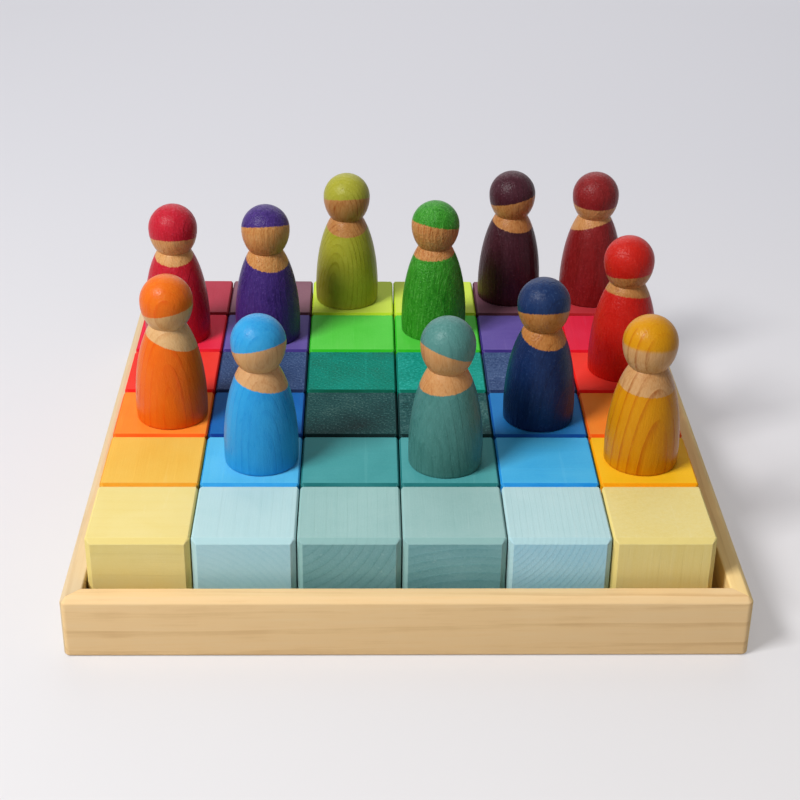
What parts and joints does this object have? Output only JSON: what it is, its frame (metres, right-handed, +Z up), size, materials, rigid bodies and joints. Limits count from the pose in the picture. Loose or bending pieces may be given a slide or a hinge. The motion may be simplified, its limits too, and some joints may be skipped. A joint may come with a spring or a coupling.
{
  "type": "mosaic cube puzzle",
  "caption": "Shallow mitred wooden tray holding a square block of loose stained cubes in mirrored colour steps, with turned faceless peg figures standing on the cubes.",
  "frame": {"origin": "on the table under the middle of the tray", "axes": "+Z up, -Y towards the front row of cubes, +X to the right as seen from the front"},
  "size_m": [0.265, 0.265, 0.1098],
  "materials": {
    "bare_wood": "sanded, oiled",
    "board": "raw",
    "stain_dark_red": "stained, satin",
    "stain_crimson": "stained, satin",
    "stain_red": "stained, satin",
    "stain_orange": "stained, satin",
    "stain_amber": "stained, satin",
    "stain_pale_yellow": "stained, satin",
    "stain_aubergine": "stained, satin",
    "stain_violet": "stained, satin",
    "stain_navy": "stained, satin",
    "stain_royal_blue": "stained, satin",
    "stain_sky_blue": "stained, satin",
    "stain_pale_blue": "stained, satin",
    "stain_lime": "stained, satin",
    "stain_bright_green": "stained, satin",
    "stain_emerald": "stained, satin",
    "stain_petrol": "stained, satin",
    "stain_teal": "stained, satin",
    "stain_pale_teal": "stained, satin"
  },
  "bodies": {
    "tray": {"rail_front": "bare_wood", "rail_back": "bare_wood", "rail_left": "bare_wood", "rail_right": "bare_wood", "tray_base": "board"},
    "dark_red_cube_left": {"cube_dark_red_left": "stain_dark_red"},
    "dark_red_cube_right": {"cube_dark_red_right": "stain_dark_red"},
    "crimson_cube_left": {"cube_crimson_left": "stain_crimson"},
    "crimson_cube_right": {"cube_crimson_right": "stain_crimson"},
    "red_cube_left": {"cube_red_left": "stain_red"},
    "red_cube_right": {"cube_red_right": "stain_red"},
    "orange_cube_left": {"cube_orange_left": "stain_orange"},
    "orange_cube_right": {"cube_orange_right": "stain_orange"},
    "amber_cube_left": {"cube_amber_left": "stain_amber"},
    "amber_cube_right": {"cube_amber_right": "stain_amber"},
    "pale_yellow_cube_left": {"cube_pale_yellow_left": "stain_pale_yellow"},
    "pale_yellow_cube_right": {"cube_pale_yellow_right": "stain_pale_yellow"},
    "aubergine_cube_left": {"cube_aubergine_left": "stain_aubergine"},
    "aubergine_cube_right": {"cube_aubergine_right": "stain_aubergine"},
    "violet_cube_left": {"cube_violet_left": "stain_violet"},
    "violet_cube_right": {"cube_violet_right": "stain_violet"},
    "navy_cube_left": {"cube_navy_left": "stain_navy"},
    "navy_cube_right": {"cube_navy_right": "stain_navy"},
    "royal_blue_cube_left": {"cube_royal_blue_left": "stain_royal_blue"},
    "royal_blue_cube_right": {"cube_royal_blue_right": "stain_royal_blue"},
    "sky_blue_cube_left": {"cube_sky_blue_left": "stain_sky_blue"},
    "sky_blue_cube_right": {"cube_sky_blue_right": "stain_sky_blue"},
    "pale_blue_cube_left": {"cube_pale_blue_left": "stain_pale_blue"},
    "pale_blue_cube_right": {"cube_pale_blue_right": "stain_pale_blue"},
    "lime_cube_left": {"cube_lime_left": "stain_lime"},
    "lime_cube_right": {"cube_lime_right": "stain_lime"},
    "bright_green_cube_left": {"cube_bright_green_left": "stain_bright_green"},
    "bright_green_cube_right": {"cube_bright_green_right": "stain_bright_green"},
    "emerald_cube_left": {"cube_emerald_left": "stain_emerald"},
    "emerald_cube_right": {"cube_emerald_right": "stain_emerald"},
    "petrol_cube_left": {"cube_petrol_left": "stain_petrol"},
    "petrol_cube_right": {"cube_petrol_right": "stain_petrol"},
    "teal_cube_left": {"cube_teal_left": "stain_teal"},
    "teal_cube_right": {"cube_teal_right": "stain_teal"},
    "pale_teal_cube_left": {"cube_pale_teal_left": "stain_pale_teal"},
    "pale_teal_cube_right": {"cube_pale_teal_right": "stain_pale_teal"},
    "dark_red_figure": {"figure_dark_red": "stain_dark_red"},
    "crimson_figure": {"figure_crimson": "stain_crimson"},
    "red_figure": {"figure_red": "stain_red"},
    "orange_figure": {"figure_orange": "stain_orange"},
    "amber_figure": {"figure_amber": "stain_amber"},
    "aubergine_figure": {"figure_aubergine": "stain_aubergine"},
    "violet_figure": {"figure_violet": "stain_violet"},
    "royal_blue_figure": {"figure_royal_blue": "stain_royal_blue"},
    "sky_blue_figure": {"figure_sky_blue": "stain_sky_blue"},
    "lime_figure": {"figure_lime": "stain_lime"},
    "bright_green_figure": {"figure_bright_green": "stain_bright_green"},
    "teal_figure": {"figure_teal": "stain_teal"}
  },
  "joints": [
    {"name": "lift_dark_red_cube_left", "type": "slide", "parent": "tray", "child": "dark_red_cube_left", "axis": [0, 0, 1], "range_m": [0, 0.045]},
    {"name": "lift_dark_red_cube_right", "type": "slide", "parent": "tray", "child": "dark_red_cube_right", "axis": [0, 0, 1], "range_m": [0, 0.045]},
    {"name": "lift_crimson_cube_left", "type": "slide", "parent": "tray", "child": "crimson_cube_left", "axis": [0, 0, 1], "range_m": [0, 0.045]},
    {"name": "lift_crimson_cube_right", "type": "slide", "parent": "tray", "child": "crimson_cube_right", "axis": [0, 0, 1], "range_m": [0, 0.045]},
    {"name": "lift_red_cube_left", "type": "slide", "parent": "tray", "child": "red_cube_left", "axis": [0, 0, 1], "range_m": [0, 0.045]},
    {"name": "lift_red_cube_right", "type": "slide", "parent": "tray", "child": "red_cube_right", "axis": [0, 0, 1], "range_m": [0, 0.045]},
    {"name": "lift_orange_cube_left", "type": "slide", "parent": "tray", "child": "orange_cube_left", "axis": [0, 0, 1], "range_m": [0, 0.045]},
    {"name": "lift_orange_cube_right", "type": "slide", "parent": "tray", "child": "orange_cube_right", "axis": [0, 0, 1], "range_m": [0, 0.045]},
    {"name": "lift_amber_cube_left", "type": "slide", "parent": "tray", "child": "amber_cube_left", "axis": [0, 0, 1], "range_m": [0, 0.045]},
    {"name": "lift_amber_cube_right", "type": "slide", "parent": "tray", "child": "amber_cube_right", "axis": [0, 0, 1], "range_m": [0, 0.045]},
    {"name": "lift_pale_yellow_cube_left", "type": "slide", "parent": "tray", "child": "pale_yellow_cube_left", "axis": [0, 0, 1], "range_m": [0, 0.045]},
    {"name": "lift_pale_yellow_cube_right", "type": "slide", "parent": "tray", "child": "pale_yellow_cube_right", "axis": [0, 0, 1], "range_m": [0, 0.045]},
    {"name": "lift_aubergine_cube_left", "type": "slide", "parent": "tray", "child": "aubergine_cube_left", "axis": [0, 0, 1], "range_m": [0, 0.045]},
    {"name": "lift_aubergine_cube_right", "type": "slide", "parent": "tray", "child": "aubergine_cube_right", "axis": [0, 0, 1], "range_m": [0, 0.045]},
    {"name": "lift_violet_cube_left", "type": "slide", "parent": "tray", "child": "violet_cube_left", "axis": [0, 0, 1], "range_m": [0, 0.045]},
    {"name": "lift_violet_cube_right", "type": "slide", "parent": "tray", "child": "violet_cube_right", "axis": [0, 0, 1], "range_m": [0, 0.045]},
    {"name": "lift_navy_cube_left", "type": "slide", "parent": "tray", "child": "navy_cube_left", "axis": [0, 0, 1], "range_m": [0, 0.045]},
    {"name": "lift_navy_cube_right", "type": "slide", "parent": "tray", "child": "navy_cube_right", "axis": [0, 0, 1], "range_m": [0, 0.045]},
    {"name": "lift_royal_blue_cube_left", "type": "slide", "parent": "tray", "child": "royal_blue_cube_left", "axis": [0, 0, 1], "range_m": [0, 0.045]},
    {"name": "lift_royal_blue_cube_right", "type": "slide", "parent": "tray", "child": "royal_blue_cube_right", "axis": [0, 0, 1], "range_m": [0, 0.045]},
    {"name": "lift_sky_blue_cube_left", "type": "slide", "parent": "tray", "child": "sky_blue_cube_left", "axis": [0, 0, 1], "range_m": [0, 0.045]},
    {"name": "lift_sky_blue_cube_right", "type": "slide", "parent": "tray", "child": "sky_blue_cube_right", "axis": [0, 0, 1], "range_m": [0, 0.045]},
    {"name": "lift_pale_blue_cube_left", "type": "slide", "parent": "tray", "child": "pale_blue_cube_left", "axis": [0, 0, 1], "range_m": [0, 0.045]},
    {"name": "lift_pale_blue_cube_right", "type": "slide", "parent": "tray", "child": "pale_blue_cube_right", "axis": [0, 0, 1], "range_m": [0, 0.045]},
    {"name": "lift_lime_cube_left", "type": "slide", "parent": "tray", "child": "lime_cube_left", "axis": [0, 0, 1], "range_m": [0, 0.045]},
    {"name": "lift_lime_cube_right", "type": "slide", "parent": "tray", "child": "lime_cube_right", "axis": [0, 0, 1], "range_m": [0, 0.045]},
    {"name": "lift_bright_green_cube_left", "type": "slide", "parent": "tray", "child": "bright_green_cube_left", "axis": [0, 0, 1], "range_m": [0, 0.045]},
    {"name": "lift_bright_green_cube_right", "type": "slide", "parent": "tray", "child": "bright_green_cube_right", "axis": [0, 0, 1], "range_m": [0, 0.045]},
    {"name": "lift_emerald_cube_left", "type": "slide", "parent": "tray", "child": "emerald_cube_left", "axis": [0, 0, 1], "range_m": [0, 0.045]},
    {"name": "lift_emerald_cube_right", "type": "slide", "parent": "tray", "child": "emerald_cube_right", "axis": [0, 0, 1], "range_m": [0, 0.045]},
    {"name": "lift_petrol_cube_left", "type": "slide", "parent": "tray", "child": "petrol_cube_left", "axis": [0, 0, 1], "range_m": [0, 0.045]},
    {"name": "lift_petrol_cube_right", "type": "slide", "parent": "tray", "child": "petrol_cube_right", "axis": [0, 0, 1], "range_m": [0, 0.045]},
    {"name": "lift_teal_cube_left", "type": "slide", "parent": "tray", "child": "teal_cube_left", "axis": [0, 0, 1], "range_m": [0, 0.045]},
    {"name": "lift_teal_cube_right", "type": "slide", "parent": "tray", "child": "teal_cube_right", "axis": [0, 0, 1], "range_m": [0, 0.045]},
    {"name": "lift_pale_teal_cube_left", "type": "slide", "parent": "tray", "child": "pale_teal_cube_left", "axis": [0, 0, 1], "range_m": [0, 0.045]},
    {"name": "lift_pale_teal_cube_right", "type": "slide", "parent": "tray", "child": "pale_teal_cube_right", "axis": [0, 0, 1], "range_m": [0, 0.045]},
    {"name": "lift_dark_red_figure", "type": "slide", "parent": "dark_red_cube_right", "child": "dark_red_figure", "axis": [0, 0, 1], "range_m": [0, 0.04]},
    {"name": "lift_crimson_figure", "type": "slide", "parent": "crimson_cube_left", "child": "crimson_figure", "axis": [0, 0, 1], "range_m": [0, 0.04]},
    {"name": "lift_red_figure", "type": "slide", "parent": "red_cube_right", "child": "red_figure", "axis": [0, 0, 1], "range_m": [0, 0.04]},
    {"name": "lift_orange_figure", "type": "slide", "parent": "orange_cube_left", "child": "orange_figure", "axis": [0, 0, 1], "range_m": [0, 0.04]},
    {"name": "lift_amber_figure", "type": "slide", "parent": "amber_cube_right", "child": "amber_figure", "axis": [0, 0, 1], "range_m": [0, 0.04]},
    {"name": "lift_aubergine_figure", "type": "slide", "parent": "aubergine_cube_right", "child": "aubergine_figure", "axis": [0, 0, 1], "range_m": [0, 0.04]},
    {"name": "lift_violet_figure", "type": "slide", "parent": "violet_cube_left", "child": "violet_figure", "axis": [0, 0, 1], "range_m": [0, 0.04]},
    {"name": "lift_royal_blue_figure", "type": "slide", "parent": "royal_blue_cube_right", "child": "royal_blue_figure", "axis": [0, 0, 1], "range_m": [0, 0.04]},
    {"name": "lift_sky_blue_figure", "type": "slide", "parent": "sky_blue_cube_left", "child": "sky_blue_figure", "axis": [0, 0, 1], "range_m": [0, 0.04]},
    {"name": "lift_lime_figure", "type": "slide", "parent": "lime_cube_left", "child": "lime_figure", "axis": [0, 0, 1], "range_m": [0, 0.04]},
    {"name": "lift_bright_green_figure", "type": "slide", "parent": "bright_green_cube_right", "child": "bright_green_figure", "axis": [0, 0, 1], "range_m": [0, 0.04]},
    {"name": "lift_teal_figure", "type": "slide", "parent": "teal_cube_right", "child": "teal_figure", "axis": [0, 0, 1], "range_m": [0, 0.04]}
  ]
}
